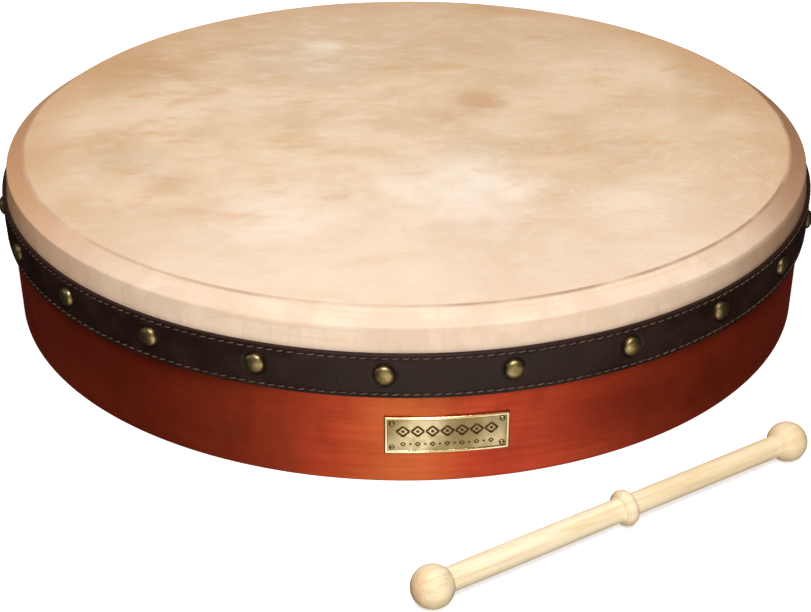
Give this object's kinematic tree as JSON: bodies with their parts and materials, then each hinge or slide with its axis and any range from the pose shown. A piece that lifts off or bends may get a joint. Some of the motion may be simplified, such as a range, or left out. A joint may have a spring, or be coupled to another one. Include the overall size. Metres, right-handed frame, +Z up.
{
  "type": "bodhran",
  "caption": "Shallow round frame drum with a goat skin head, tacked leather strip, bevelled edge and inner crossbars, with its double-ended tipper.",
  "frame": {"origin": "centre of the rim's bottom edge, on the drum's axis", "axes": "+Z up the drum's axis through the skin, -Y towards the nameplate"},
  "size_m": [0.4662, 0.5618, 0.0916],
  "materials": {
    "rim_wood": "red-brown stain under satin lacquer, fine level grain",
    "plain_wood": "bare sanded beech",
    "hide": "cream goat skin, cloudy tan mottling, satin",
    "strip_leather": "very dark brown smooth leather, satin",
    "thread": "dull brown-grey waxed thread",
    "aged_brass": "antique finish, dark in the hollows",
    "plate_brass": "pale polished border, brushed field",
    "bar_wood": "oiled hardwood",
    "screw_steel": "zinc plated",
    "tipper_wood": "pale turned wood under thin matt finish"
  },
  "bodies": {
    "drum": {"rim_shell": "rim_wood", "bearing_hoop": "plain_wood", "skin_head": "hide", "trim_strip": "strip_leather", "lower_stitching": "thread", "upper_stitching": "thread", "dome_tacks": "aged_brass", "nameplate": "plate_brass", "nameplate_pins": "plate_brass", "crossbar_left_right": "bar_wood", "crossbar_front_back": "bar_wood", "bar_screws": "screw_steel", "bar_block_right": "plain_wood", "bar_block_back": "plain_wood", "bar_block_left": "plain_wood", "bar_block_front": "plain_wood"},
    "tipper": {"tipper": "tipper_wood"}
  },
  "joints": [
    {"name": "tipper_lift", "type": "slide", "parent": "drum", "child": "tipper", "axis": [0, 0, 1], "range_m": [0, 0.3]}
  ]
}
